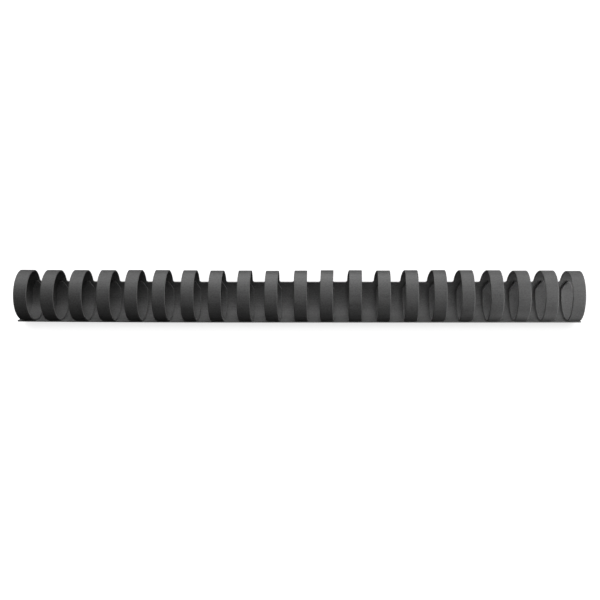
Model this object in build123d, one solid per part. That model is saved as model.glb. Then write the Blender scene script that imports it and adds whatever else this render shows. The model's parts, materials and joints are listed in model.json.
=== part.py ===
from build123d import *
import os
from math import cos, radians, sin

# A plastic binding comb: one punched and curled sheet that makes a long curved spine
# and a row of ring fingers. X runs along the comb, +Z is up and -Y is the front, where
# the spine's free lip is. The origin is on the rings' common axis, at the middle ring.
# Angles are in degrees in the YZ plane, from +Y towards +Z. Lengths are in mm.

# The row of rings
ring_count = 21
ring_pitch = 14.2875  # 9/16 in, the standard pitch of comb binding
finger_width = 6.6
left_overhang = 1.9  # of the spine past the first finger
right_overhang = 1.2  # of the spine past the last finger

# The sheet and its two layers
sheet = 0.8
layer_gap = 0.1  # between the spine's inside and the nested finger ends
spine_radius = 13.8  # outer
finger_radius = spine_radius - sheet - layer_gap  # outer, where a finger is a true circle

# Where things are round the section
root_angle = -29.0  # the spine's rear edge, where the fingers start
lip_angle = -155.0  # the spine's free front edge
root_fold = -15.0  # end of the short finger stubs, and the root fold line
step_end = 60.0  # from here on a finger is one layer further in
crown_fold = 115.0  # the second fold line, at the top front of the ring
tip_angle = 336.0  # the pointed end of a finger, inside the spine

# Small shapes
root_fillet = 1.0  # where a finger's sides meet the spine's rear edge
point_length = 4.8  # of the pointed end, along the finger
point_flat = 1.3  # width left at the very tip
cut_margin = 3.0  # how far a cutting shape runs past what it cuts

ring_span = (ring_count - 1) * ring_pitch
ring_centres = [ring_pitch * i - ring_span / 2 for i in range(ring_count)]
spine_left = -ring_span / 2 - finger_width / 2 - left_overhang
spine_right = ring_span / 2 + finger_width / 2 + right_overhang


def polar(radius, angle, centre=(0.0, 0.0)):
    """A point of the YZ plane at this radius and angle from a centre."""
    y = centre[0] + radius * cos(radians(angle))
    z = centre[1] + radius * sin(radians(angle))
    return Vector(0, y, z)


def arc(radius, start, end, centre=(0.0, 0.0)):
    """A circular arc in the YZ plane."""
    middle = (start + end) / 2
    return ThreePointArc(
        polar(radius, start, centre),
        polar(radius, middle, centre),
        polar(radius, end, centre),
    )


def strip(pieces, x_from, x_to):
    """A bent strip of sheet. Each piece is (outer radius, start angle, end angle, centre)."""
    outer = [arc(r, a, b, c) for r, a, b, c in pieces]
    inner = [arc(r - sheet, a, b, c) for r, a, b, c in pieces]
    start_cap = Line(outer[0] @ 0, inner[0] @ 0)
    end_cap = Line(outer[-1] @ 1, inner[-1] @ 1)
    section = make_face(Wire(outer + [end_cap] + inner + [start_cap]))
    return Pos(x_from, 0, 0) * extrude(section, amount=x_to - x_from, dir=(1, 0, 0))


def inward_step():
    """Two tangent arcs that bring a finger in from the spine's circle to its own."""
    depth = spine_radius - finger_radius
    half = radians(step_end - root_fold) / 2
    shift = depth / (2 * (1 - cos(half)))
    near = (shift * cos(radians(root_fold)), shift * sin(radians(root_fold)))
    far = (-shift * cos(radians(step_end)), -shift * sin(radians(step_end)))
    meeting = (root_fold + step_end) / 2
    return [
        (spine_radius - shift, root_fold, meeting, near),
        (finger_radius + shift, meeting, step_end, far),
    ]


def spine():
    """The curved spine with one short stub for each finger along its rear edge."""
    body = strip([(spine_radius, lip_angle, root_fold, (0.0, 0.0))], spine_left, spine_right)
    gap = ring_pitch - finger_width
    notch_starts = [x + finger_width / 2 for x in ring_centres[:-1]]
    cuts = [(x, x + gap) for x in notch_starts]
    cuts.append((spine_left - cut_margin, spine_left + left_overhang))
    cuts.append((spine_right - right_overhang, spine_right + cut_margin))
    for x_from, x_to in cuts:
        section = Polyline(
            polar(spine_radius - cut_margin, root_angle),
            polar(spine_radius + cut_margin, root_angle),
            polar(spine_radius + cut_margin, 0),
            polar(spine_radius - cut_margin, 0),
            close=True,
        )
        cutter = extrude(make_face(section), amount=x_to - x_from, dir=(1, 0, 0))
        body -= Pos(x_from, 0, 0) * cutter
    return fillet(root_corners(body), root_fillet)


def root_corners(body):
    """The short radial edges where the stubs' sides meet the spine's rear edge, apart
    from the last one, where the spine ends too soon for a fillet."""
    near = 0.02
    at_root = polar(spine_radius - sheet / 2, root_angle)
    last_side = ring_span / 2 + finger_width / 2
    corners = ShapeList()
    for edge in body.edges():
        middle = edge.center()
        off = Vector(0, middle.Y - at_root.Y, middle.Z - at_root.Z).length
        between = spine_left + near < middle.X < last_side - near
        if off < near and abs(edge.length - sheet) < near and between:
            corners.append(edge)
    return corners


def finger_base():
    """The part of a finger from the root fold over the top to the crown fold."""
    pieces = inward_step() + [(finger_radius, step_end, crown_fold, (0.0, 0.0))]
    return strip(pieces, -finger_width / 2, finger_width / 2)


def finger_tip():
    """The part of a finger from the crown fold down the front to the pointed end."""
    middle = (crown_fold + tip_angle) / 2
    pieces = [
        (finger_radius, crown_fold, middle, (0.0, 0.0)),
        (finger_radius, middle, tip_angle, (0.0, 0.0)),
    ]
    band = strip(pieces, -finger_width / 2, finger_width / 2)
    outward = (0, cos(radians(tip_angle)), sin(radians(tip_angle)))
    tangent_plane = Plane(origin=(0, 0, 0), x_dir=(1, 0, 0), z_dir=outward)
    slope = (finger_width - point_flat) / 2 / point_length
    for side in (-1, 1):
        section = Polyline(
            (side * point_flat / 2, 0),
            (side * (finger_width / 2 + slope), point_length + 1),
            (side * (finger_width / 2 + cut_margin), point_length + 1),
            (side * (finger_width / 2 + cut_margin), -cut_margin),
            (side * point_flat / 2, -cut_margin),
            close=True,
        )
        wedge = extrude(tangent_plane * make_face(section), amount=spine_radius, dir=outward)
        band -= wedge
    return band


def main():
    os.makedirs("parts", exist_ok=True)
    export_step(spine(), "parts/spine.step")
    base = finger_base()
    tip = finger_tip()
    for number, x in enumerate(ring_centres, start=1):
        export_step(Pos(x, 0, 0) * base, f"parts/finger_{number:02d}_base.step")
        export_step(Pos(x, 0, 0) * tip, f"parts/finger_{number:02d}_tip.step")


main()
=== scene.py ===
import json
import random
from math import asin, atan2, ceil, cos, degrees, pi, radians, sin, sqrt

import bmesh
import bpy
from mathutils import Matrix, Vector


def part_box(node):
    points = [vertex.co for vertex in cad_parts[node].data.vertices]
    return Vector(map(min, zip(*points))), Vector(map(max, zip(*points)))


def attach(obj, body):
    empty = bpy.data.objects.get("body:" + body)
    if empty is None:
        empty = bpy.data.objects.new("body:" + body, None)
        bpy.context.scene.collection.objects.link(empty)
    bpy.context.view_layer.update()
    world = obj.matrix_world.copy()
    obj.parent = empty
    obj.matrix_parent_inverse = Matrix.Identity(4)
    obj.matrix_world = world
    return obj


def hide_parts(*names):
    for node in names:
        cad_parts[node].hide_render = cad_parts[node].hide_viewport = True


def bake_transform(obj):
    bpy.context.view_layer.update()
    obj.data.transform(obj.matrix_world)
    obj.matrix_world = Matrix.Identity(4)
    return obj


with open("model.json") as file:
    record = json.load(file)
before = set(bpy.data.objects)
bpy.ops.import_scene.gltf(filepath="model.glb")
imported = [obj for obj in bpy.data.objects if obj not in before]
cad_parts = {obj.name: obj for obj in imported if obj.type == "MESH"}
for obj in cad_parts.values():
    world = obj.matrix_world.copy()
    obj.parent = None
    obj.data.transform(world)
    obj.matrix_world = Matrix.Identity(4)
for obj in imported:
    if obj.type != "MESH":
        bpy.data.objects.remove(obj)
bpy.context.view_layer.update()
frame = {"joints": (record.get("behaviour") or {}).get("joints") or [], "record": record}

MM = 0.001

# --- Sizes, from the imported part. The part's origin is on the rings' axis. ---

mounts = {m["name"]: m for m in frame["record"]["mounts"]}
joints = {j["name"]: j for j in frame["joints"]}
ring_names = sorted(name[: -len("_root")] for name in joints if name.endswith("_root"))
ring_x = {name: joints[name + "_root"]["pos_m"][0] for name in ring_names}

spine_low, spine_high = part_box("spine")
tip_low, tip_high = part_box(ring_names[0] + "_tip")
spine_radius = -spine_low.z
finger_radius = -tip_low.y
bore_radius = mounts["ring_bore"]["dims"]["r_mm"] * MM
sheet = finger_radius - bore_radius
finger_half = (tip_high.x - tip_low.x) / 2


def angle_of(joint):
    """Where a hinge is round the section, in degrees from +Y towards +Z."""
    _, y, z = joints[joint]["pos_m"]
    return degrees(atan2(z, y))


root_fold = angle_of(ring_names[0] + "_root")

# Where the sheet's edges are round the section, in degrees, as in the CAD part
root_angle = -29.0
lip_angle = -155.0
tip_angle = 336.0
# A finger is one layer further in from here on. The real sheet gets there more slowly than the
# CAD part's stiff step does.
step_end = 110.0

root_fillet = 1.0 * MM
point_length = 4.8 * MM
point_half = 0.65 * MM  # half of the width left at the very tip
stub_end = root_fillet * 1.05  # along a finger, where the spine's own stub stops

# Mesh detail
edge_round = 0.16 * MM
edge_support = 0.30 * MM  # from a rounded edge to the line of points that keeps it crisp
support_room = edge_support * 1.3  # no other line of points is nearer to the edge than this
step_along = 0.45 * MM
step_across_gap = 1.8 * MM
crease = radians(30)  # a sharper edge than this gets rounded
fillet_steps = 6
tiny = 1e-7
seam_angle = 40.0  # where a finger's back and front pieces meet
nest_angle = 208.0  # where its front and nested pieces meet, behind the spine's lip

# A piece's materials, in this order
ROLLED, PUNCHED = 0, 1


# --- The curled sheet: a path round the section, and pieces cut from it ---


class Path:
    """A chain of tangent arcs round the section, measured along the sheet's outer face."""

    def __init__(self, arcs):
        self.arcs = arcs
        self.ends = [0.0]
        for radius, start, end, _ in arcs:
            self.ends.append(self.ends[-1] + radius * radians(end - start))
        self.length = self.ends[-1]

    def along(self, angle):
        """How far along the sheet its outer face looks this way, as an angle."""
        index = next(i for i, (_, _, end, _) in enumerate(self.arcs) if angle <= end)
        radius, start, _, _ = self.arcs[index]
        return self.ends[index] + radius * radians(angle - start)

    def place(self, along, depth):
        """(y, z) of the point this far along, and this deep under the outer face."""
        last = len(self.arcs) - 1
        index = next((i for i in range(last) if along < self.ends[i + 1]), last)
        radius, start, _, centre = self.arcs[index]
        angle = radians(start) + (along - self.ends[index]) / radius
        reach = radius - depth
        return centre[0] + reach * cos(angle), centre[1] + reach * sin(angle)


def finger_arcs():
    """A finger's path from the spine's rear edge to its pointed end."""
    depth = spine_radius - finger_radius
    half = radians(step_end - root_fold) / 2
    shift = depth / (2 * (1 - cos(half)))
    near = (shift * cos(radians(root_fold)), shift * sin(radians(root_fold)))
    far = (-shift * cos(radians(step_end)), -shift * sin(radians(step_end)))
    meeting = (root_fold + step_end) / 2
    centre = (0.0, 0.0)
    return [
        (spine_radius, root_angle, root_fold, centre),
        (spine_radius - shift, root_fold, meeting, near),
        (finger_radius + shift, meeting, step_end, far),
        (finger_radius, step_end, tip_angle, centre),
    ]


spine_path = Path([(spine_radius, lip_angle, root_angle, (0.0, 0.0))])
finger_path = Path(finger_arcs())


def spaced(start, end, step=step_along, support=(False, False)):
    """Even stations from start to end, with one more close to an end that gets a rounded edge."""
    count = max(1, ceil((end - start) / step))
    stations = [start + (end - start) * i / count for i in range(count + 1)]
    if support[0]:
        stations = [s for s in stations if s == start or s > start + support_room]
        stations.insert(1, start + edge_support)
    if support[1]:
        stations = [s for s in stations if s == end or s < end - support_room]
        stations.insert(-1, end - edge_support)
    return stations


class Cut:
    """A piece of the sheet under construction: an outer and an inner grid of points on a path,
    closed by walls."""

    def __init__(self, path, along_offset):
        self.path = path
        self.along_offset = along_offset
        self.bm = bmesh.new()
        self.uv = self.bm.loops.layers.uv.new("sheet")
        self.points = {}

    def corner(self, key, x, along, lift=0.0):
        """The pair of points, outer and inner, at one place of the sheet, moved in by a lift."""
        if key not in self.points:
            pair = []
            for depth in (lift, lift + sheet):
                y, z = self.path.place(along, depth)
                pair.append(self.bm.verts.new((x, y + set_back(x), z)))
            self.points[key] = (pair, x, along)
        return key

    def face(self, keys):
        """One quad of the sheet: its outer and its inner face."""
        for layer in (0, 1):
            ordered = keys if layer == 0 else list(reversed(keys))
            made = self.bm.faces.new([self.points[k][0][layer] for k in ordered])
            made.material_index = ROLLED
            for loop, key in zip(made.loops, ordered):
                _, x, along = self.points[key]
                loop[self.uv].uv = (x / MM, (along + self.along_offset) / MM)

    def wall(self, first, second):
        """The cut face between two neighbouring places on the sheet's outline."""
        (a, x_a, s_a), (b, x_b, s_b) = self.points[first], self.points[second]
        made = self.bm.faces.new([a[0], a[1], b[1], b[0]])
        made.material_index = PUNCHED
        along = self.along_offset
        corners = [(x_a, s_a, 0), (x_a, s_a, sheet), (x_b, s_b, sheet), (x_b, s_b, 0)]
        for loop, (x, s, depth) in zip(made.loops, corners):
            loop[self.uv].uv = ((x + depth) / MM, (s + along + depth) / MM)
        return made

    def finish(self, name, walls, seams, materials):
        """Rounds the walls' edges, leaves the seams sharp and makes the object."""
        rounded = set()
        for wall in walls:
            for edge in wall.edges:
                faces = edge.link_faces
                at_seam = any(f in seams for f in faces)
                if not at_seam and edge.calc_face_angle(0.0) > crease:
                    rounded.add(edge)
        bmesh.ops.bevel(
            self.bm,
            geom=list(rounded),
            offset=edge_round,
            segments=2,
            profile=0.5,
            affect="EDGES",
            clamp_overlap=True,
        )
        bmesh.ops.recalc_face_normals(self.bm, faces=self.bm.faces)
        for face in self.bm.faces:
            face.smooth = True
        for seam in seams:
            if seam.is_valid:
                for edge in seam.edges:
                    edge.smooth = False
        mesh = bpy.data.meshes.new(name)
        self.bm.to_mesh(mesh)
        self.bm.free()
        for material in materials:
            mesh.materials.append(material)
        piece = bpy.data.objects.new(name, mesh)
        bpy.context.scene.collection.objects.link(piece)
        return piece


def half_width(along):
    """Half of a finger's width at a place along it, narrowing to its pointed end."""
    left = finger_radius * sin(min((finger_path.length - along) / finger_radius, pi / 2))
    if left >= point_length:
        return finger_half
    return point_half + (finger_half - point_half) * left / point_length


def eased(value, start, end):
    """0 before start and 1 after end, with a smooth way from one to the other."""
    t = min(max((value - start) / (end - start), 0.0), 1.0)
    return t * t * (3 - 2 * t)


# --- How a real comb strays from its drawing ---

# The fingers splay towards the comb's ends, most of all half way there, and lean to one side
back_splay, back_lean = 0.72 * MM, 0.27 * MM
front_splay, front_lean = 0.66 * MM, -0.23 * MM
end_splay, end_lean = 0.46 * MM, 0.89 * MM

# Each finger is a little different. The seeds were searched for: of those tried, their draws are
# the nearest to a real comb's fingers.
front_scatter, front_seed = 0.25 * MM, 1305202
end_scatter, end_seed = 0.33 * MM, 565778
top_scatter, top_seed = 0.16 * MM, 474677
share_at_back = 0.6  # of a finger's own straying at the front

end_lift = 0.10 * MM  # how far the nested ends stand off the spine, beyond the CAD part's gap

# The comb's left end bends back
bend = 0.60 * MM
bend_start = 0.2  # from the middle, as a share of the comb's left half

# Where round the section, in degrees, each change starts and is complete. Two of them start at
# the end of the stub.
back_done = 30.0
front_from, front_done = 20.0, 115.0
end_from, end_done = 135.0, 275.0
top_from, top_done = 30.0, 100.0
lift_from, lift_done = 225.0, 300.0


def scattered(seed):
    """A number for each finger, mostly between -2 and 2."""
    dice = random.Random(seed)
    return {ring: dice.gauss(0, 1) for ring in ring_names}


front_stray, end_stray, top_stray = scattered(front_seed), scattered(end_seed), scattered(top_seed)


def changed(along, start_angle, end_angle):
    """How much of a change between two angles is done, this far from a finger's root."""
    return eased(along, finger_path.along(start_angle), finger_path.along(end_angle))


def sideways(ring, along):
    """How far a finger has strayed along the comb, this far from its root."""
    fan = sin(pi * ring_x[ring] / spine_high.x)
    own = front_scatter * front_stray[ring]
    back = back_splay * fan + back_lean + own * share_at_back
    front = front_splay * fan + front_lean + own
    end = end_splay * fan + end_lean + end_scatter * end_stray[ring]
    at_back = eased(along, stub_end, finger_path.along(back_done))
    at_front = changed(along, front_from, front_done)
    at_end = changed(along, end_from, end_done)
    return back * at_back + (front - back) * at_front + (end - front) * at_end


def inwards(ring, along):
    """How far a finger stands in from its drawn path, this far from its root."""
    up = eased(along, stub_end, finger_path.along(back_done))
    over = changed(along, top_from, top_done)
    top = top_scatter * top_stray[ring] * (up - over)
    return top + end_lift * changed(along, lift_from, lift_done)


def set_back(x):
    """How far back the comb has bent, this far along it."""
    start = bend_start * spine_low.x
    share = min(max((start - x) / (start - spine_low.x), 0.0), 1.0)
    return bend * share**2


# --- The pieces ---


def shares_across(half):
    """Columns across a finger, as shares of its half width, close together at its edges."""
    inner = 1 - edge_support / half
    return [-1, -inner, -inner / 2, 0, inner / 2, inner, 1]


def finger_piece(name, ring, start, end, start_seam, end_seam, materials):
    """A length of one finger, from start to end along the finger's path."""
    cut = Cut(finger_path, spine_path.length)
    stations = spaced(start, end, support=(not start_seam, not end_seam))
    shoulder = finger_path.length - finger_radius * asin(point_length / finger_radius)
    if start < shoulder < end:
        stations = sorted(s for s in stations if abs(s - shoulder) > step_along / 3)
        stations = sorted(stations + [shoulder])
    columns = len(shares_across(finger_half))
    for i, along in enumerate(stations):
        half = half_width(along)
        middle = ring_x[ring] + sideways(ring, along)
        lift = inwards(ring, along)
        for j, share in enumerate(shares_across(half)):
            cut.corner((i, j), middle + half * share, along, lift)
    for i in range(len(stations) - 1):
        for j in range(columns - 1):
            cut.face([(i, j), (i, j + 1), (i + 1, j + 1), (i + 1, j)])
    walls, seams = [], []
    last = len(stations) - 1
    for i in range(last):
        walls.append(cut.wall((i + 1, 0), (i, 0)))
        walls.append(cut.wall((i, columns - 1), (i + 1, columns - 1)))
    for j in range(columns - 1):
        first_cap = cut.wall((0, j), (0, j + 1))
        last_cap = cut.wall((last, j + 1), (last, j))
        (seams if start_seam else walls).append(first_cap)
        (seams if end_seam else walls).append(last_cap)
    return cut.finish(name, walls, set(seams), materials)


def spine_piece(name, materials):
    """The spine with a short stub and two rounded roots for each finger."""
    cut = Cut(spine_path, 0.0)
    grid = spaced(0.0, spine_path.length, support=(True, True))
    rows = len(grid) - 1

    # Columns along the comb: each stub's flared foot, and the plain edge between stubs
    columns, feet = [spine_low.x], []
    for ring in ring_names:
        x = ring_x[ring]
        left = min(root_fillet, x - finger_half - spine_low.x)
        right = min(root_fillet, spine_high.x - x - finger_half)
        low, high = x - finger_half - left, x + finger_half + right
        if low - columns[-1] > tiny:
            columns += spaced(columns[-1], low, step=step_across_gap)[1:]
        first = len(columns) - 1
        shares = shares_across((high - low) / 2)
        columns += [(low + high) / 2 + (high - low) / 2 * s for s in shares[1:]]
        feet.append((ring, first, len(columns) - 1, left, right))
    if spine_high.x - columns[-1] > tiny:
        columns += spaced(columns[-1], spine_high.x, step=step_across_gap)[1:]

    for i, along in enumerate(grid):
        for j, x in enumerate(columns):
            cut.corner((i, j), x, along)
    for i in range(rows):
        for j in range(len(columns) - 1):
            cut.face([(i, j), (i, j + 1), (i + 1, j + 1), (i + 1, j)])

    walls, seams = [], []
    for i in range(rows):
        walls.append(cut.wall((i + 1, 0), (i, 0)))
        walls.append(cut.wall((i, len(columns) - 1), (i + 1, len(columns) - 1)))
    for j in range(len(columns) - 1):
        walls.append(cut.wall((0, j), (0, j + 1)))
    in_foot = {j for _, first, last, _, _ in feet for j in range(first, last)}
    for j in range(len(columns) - 1):
        if j not in in_foot:
            walls.append(cut.wall((rows, j + 1), (rows, j)))

    # The stubs go on along the fingers' path, so the points are on that one from here on
    cut.path, cut.along_offset = finger_path, spine_path.length
    turns = [radians(90 * k / fillet_steps) for k in range(1, fillet_steps + 1)]
    stations = [root_fillet * (1 - cos(t)) for t in turns] + [stub_end]
    for ring, first, last, left, right in feet:
        previous = [(rows, j) for j in range(first, last + 1)]
        for key in previous:
            pair, x, _ = cut.points[key]
            cut.points[key] = (pair, x, 0.0)
        for s, along in enumerate(stations):
            low = ring_x[ring] - finger_half - flare(left, along)
            high = ring_x[ring] + finger_half + flare(right, along)
            half, middle = (high - low) / 2, (high + low) / 2
            current = [
                cut.corner((ring, s, k), middle + half * share, along)
                for k, share in enumerate(shares_across(half))
            ]
            for k in range(len(current) - 1):
                cut.face([previous[k], previous[k + 1], current[k + 1], current[k]])
            walls.append(cut.wall(current[0], previous[0]))
            walls.append(cut.wall(previous[-1], current[-1]))
            previous = current
        for k in range(len(previous) - 1):
            seams.append(cut.wall(previous[k + 1], previous[k]))
    return cut.finish(name, walls, set(seams), materials)


def flare(radius, along):
    """How far a root fillet stands out from a finger's side, this far from the spine's edge."""
    if along >= radius:
        return 0.0
    return radius - sqrt(radius**2 - (radius - along) ** 2)


# --- Materials ---


def node(tree, kind, inputs=(), **settings):
    """A shader node with its settings and plain input values."""
    made = tree.nodes.new(kind)
    for key, value in settings.items():
        setattr(made, key, value)
    for key, value in dict(inputs).items():
        made.inputs[key].default_value = value
    return made


def noise(tree, vector, stretch, detail=3.0, roughness=0.55):
    """A noise pattern on the sheet, with its size in mm across and along the sheet."""
    scale = tuple(1 / s for s in stretch)
    mapping = node(tree, "ShaderNodeMapping", {"Scale": scale})
    tree.links.new(vector, mapping.inputs["Vector"])
    made = node(
        tree,
        "ShaderNodeTexNoise",
        {"Scale": 1.0, "Detail": detail, "Roughness": roughness},
    )
    tree.links.new(mapping.outputs["Vector"], made.inputs["Vector"])
    return made.outputs["Fac"]


def ranged(tree, value, low, high, source=(0.3, 0.7)):
    """A value moved from the noise's own range to another."""
    made = node(
        tree,
        "ShaderNodeMapRange",
        {"From Min": source[0], "From Max": source[1], "To Min": low, "To Max": high},
    )
    tree.links.new(value, made.inputs["Value"])
    return made.outputs["Result"]


def added(tree, first, second):
    """The sum of two values."""
    made = node(tree, "ShaderNodeMath", operation="ADD")
    tree.links.new(first, made.inputs[0])
    tree.links.new(second, made.inputs[1])
    return made.outputs["Value"]


def ramp(tree, value, low, high):
    """A colour between two, by a value from 0 to 1."""
    made = node(tree, "ShaderNodeMix", data_type="RGBA")
    made.inputs["A"].default_value = (*low, 1)
    made.inputs["B"].default_value = (*high, 1)
    tree.links.new(value, made.inputs["Factor"])
    return made.outputs["Result"]


def pvc(name, dark, light, roughness, grain_height, streaks):
    """Dark grey rolled PVC: fine grain, mottling, faint streaks from the rollers, a soft shine."""
    material = bpy.data.materials.new(name)
    material.use_nodes = True
    tree = material.node_tree
    shader = tree.nodes["Principled BSDF"]
    shader.inputs["IOR"].default_value = 1.50
    place = node(tree, "ShaderNodeUVMap", uv_map="sheet").outputs["UV"]

    cloud = noise(tree, place, (9.0, 7.0, 1.0), detail=2.0)
    streak = noise(tree, place, (60.0, 0.8, 1.0), detail=2.0)
    grain = noise(tree, place, (0.22, 0.22, 1.0), detail=2.0, roughness=0.7)
    mottle = noise(tree, place, (0.9, 0.7, 1.0), detail=1.0)
    mixed = added(tree, ranged(tree, cloud, 0.0, 0.3), ranged(tree, streak, 0.0, streaks))
    mixed = added(tree, mixed, ranged(tree, mottle, 0.0, 0.8))
    tree.links.new(ramp(tree, mixed, dark, light), shader.inputs["Base Color"])

    gloss = added(
        tree,
        ranged(tree, cloud, roughness - 0.04, roughness + 0.03),
        ranged(tree, grain, 0.0, 0.06),
    )
    tree.links.new(gloss, shader.inputs["Roughness"])

    height = added(tree, ranged(tree, grain, 0.0, 0.7), ranged(tree, streak, 0.0, streaks))
    height = added(tree, height, ranged(tree, mottle, 0.0, 2.0))
    bump = node(tree, "ShaderNodeBump", {"Strength": 0.6, "Distance": grain_height})
    tree.links.new(height, bump.inputs["Height"])
    tree.links.new(bump.outputs["Normal"], shader.inputs["Normal"])
    return material


rolled = pvc(
    "pvc_rolled_face",
    dark=(0.064, 0.064, 0.064),
    light=(0.108, 0.108, 0.108),
    roughness=0.48,
    grain_height=0.010 * MM,
    streaks=0.3,
)
# The cut edges get the same PVC in lighter colours than the rolled faces: a painted highlight that
# stands in for the light the cut edges catch.
punched_edge_painted_highlight = pvc(
    "pvc_punched_edge",
    dark=(0.110, 0.110, 0.110),
    light=(0.150, 0.150, 0.150),
    roughness=0.50,
    grain_height=0.020 * MM,
    streaks=0.1,
)
pvc_materials = [rolled, punched_edge_painted_highlight]  # in the order of ROLLED and PUNCHED


# --- The comb ---

spine = spine_piece("spine_sheet", pvc_materials)
comb_pieces = [spine]
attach(spine, "spine")
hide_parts("spine")


# The root bends from the stub's end to this place on the spine's circle
seam_along = finger_path.along(seam_angle)
nest_along = finger_path.along(nest_angle)

for ring in ring_names:
    base_body, tip_body = ring + "_base", ring + "_tip"

    back = finger_piece(ring + "_back", ring, stub_end, seam_along, True, True, pvc_materials)
    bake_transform(back)
    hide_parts(base_body)

    front = finger_piece(ring + "_front", ring, seam_along, nest_along, True, True, pvc_materials)
    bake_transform(front)
    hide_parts(tip_body)

    nested = finger_piece(
        ring + "_nested", ring, nest_along, finger_path.length, True, False, pvc_materials
    )
    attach(nested, tip_body)
    comb_pieces += [back, front, nested]


# --- Floor, lights and camera ---

floor_size = 4.0
floor_gap = 0.02 * MM  # under the spine
floor_glow = 0.6
floor_watts = 270.0
overhead_height, overhead_size = 3.0, 9.0
box_distance, box_size = 0.8, 0.4  # of a softbox

# Each softbox's azimuth (0 is right, 90 is behind), elevation and watts
softboxes = {
    "back_low": (90, 18, 1.85),
    "back_left_low": (135, 18, 0.99),
    "back_right_low": (45, 18, 0.70),
    "back_high": (90, 48, 1.71),
    "back_left_high": (135, 48, 0.79),
    "right_high": (0, 48, 0.88),
    "front_high": (270, 48, 0.35),
    "top": (0, 90, 0.71),
}

# Each light near the comb's right end: its place, its size and its watts
right_end_target = (0.1, 0, 0)
right_end_lights = {
    "right_end": ((0.34, 0.0, 0.12), (0.16, 0.16), 0.396),
    "right_end_front": ((0.30, -0.17, 0.10), (0.16, 0.16), 0.190),
    "right_end_low": ((0.24, -0.05, 0.008), (0.08, 0.03), 0.082),
}

# Two small lights beside the comb's right half point up, for what the table throws back there:
# each one's y and watts
bounces = {"bounce_front": (-0.045, 0.0065), "bounce_back": (0.045, 0.0033)}
bounce_x, bounce_z = 0.13, -0.0135
bounce_target_z = 0.1
bounce_size = (0.06, 0.04)

camera_elevation = 64.0
camera_distance = 0.452
lens, sensor = 51.7, 36.0
axis_above_centre = 1.96 * MM  # how far over the picture's middle the comb's axis is


def receivers(name, objects):
    """The only objects that a light shines on."""
    group = bpy.data.collections.new(name)
    for piece in objects:
        group.objects.link(piece)
    return group


def floor_material():
    """White paper that glows a little, so that it stays white round a faint contact shadow."""
    material = bpy.data.materials.new("floor_white")
    material.use_nodes = True
    shader = material.node_tree.nodes["Principled BSDF"]
    shader.inputs["Base Color"].default_value = (0.9, 0.9, 0.9, 1)
    shader.inputs["Roughness"].default_value = 1.0
    shader.inputs["Specular IOR Level"].default_value = 0.0
    shader.inputs["Emission Color"].default_value = (1, 1, 1, 1)
    shader.inputs["Emission Strength"].default_value = floor_glow
    return material


def add_floor():
    """A plain white floor under the spine. It gives no bounce light, so the comb's underside
    stays dark, as on a black-edged shooting table."""
    place = (0, 0, spine_low.z - floor_gap)
    bpy.ops.mesh.primitive_plane_add(size=floor_size, location=place)
    floor = bpy.context.active_object
    floor.name = "floor"
    floor.data.materials.append(floor_material())
    floor.visible_diffuse = False
    floor.visible_glossy = False
    return floor


def area_light(name, place, target, size, watts, shines_on=None):
    """A soft rectangular light that points at a target."""
    data = bpy.data.lights.new(name, "AREA")
    data.shape = "RECTANGLE"
    data.size, data.size_y = size
    data.energy = watts
    lamp = bpy.data.objects.new(name, data)
    lamp.location = place
    aim = Vector(target) - Vector(place)
    lamp.rotation_euler = aim.to_track_quat("-Z", "Y").to_euler()
    lamp.visible_camera = False
    if shines_on:
        lamp.light_linking.receiver_collection = shines_on
    bpy.context.scene.collection.objects.link(lamp)


def softbox(name, azimuth, elevation, watts, shines_on):
    """A square softbox on a sphere round the comb, which it points at."""
    level = box_distance * cos(radians(elevation))
    place = (
        level * cos(radians(azimuth)),
        level * sin(radians(azimuth)),
        box_distance * sin(radians(elevation)),
    )
    area_light(name, place, (0, 0, 0), (box_size, box_size), watts, shines_on)


def add_lights(floor):
    """Softboxes round the comb, most of them behind it, smaller lights at its right end, and an
    overhead light for the floor alone."""
    comb = receivers("lit_by_softboxes", comb_pieces)
    for name, (azimuth, elevation, watts) in softboxes.items():
        softbox(name, azimuth, elevation, watts, comb)
    for name, (place, size, watts) in right_end_lights.items():
        area_light(name, place, right_end_target, size, watts, comb)
    for name, (y, watts) in bounces.items():
        place, target = (bounce_x, y, bounce_z), (bounce_x, y, bounce_target_z)
        area_light(name, place, target, bounce_size, watts, comb)
    paper = receivers("lit_from_above", [floor])
    above, wide = (0, 0, overhead_height), (overhead_size, overhead_size)
    area_light("overhead", above, (0, 0, 0), wide, floor_watts, paper)


def add_world():
    """A white surround that the camera sees and that lights nothing."""
    world = bpy.data.worlds.new("studio")
    bpy.context.scene.world = world
    world.use_nodes = True
    background = world.node_tree.nodes["Background"]
    background.inputs["Color"].default_value = (1, 1, 1, 1)
    background.inputs["Strength"].default_value = 1.0
    world.cycles_visibility.diffuse = False
    world.cycles_visibility.glossy = False


def add_camera():
    """The camera looks down at the comb's front from above."""
    data = bpy.data.cameras.new("camera")
    data.lens = lens
    data.sensor_width = sensor
    camera = bpy.data.objects.new("camera", data)
    e = radians(camera_elevation)
    towards = Vector((0, -cos(e), sin(e)))
    up = Vector((0, sin(e), cos(e)))
    target = -up * axis_above_centre
    camera.location = target + towards * camera_distance
    camera.rotation_euler = (-towards).to_track_quat("-Z", "Y").to_euler()
    bpy.context.scene.collection.objects.link(camera)
    bpy.context.scene.camera = camera


add_lights(add_floor())
add_world()
add_camera()
bpy.context.scene.view_settings.view_transform = "Standard"
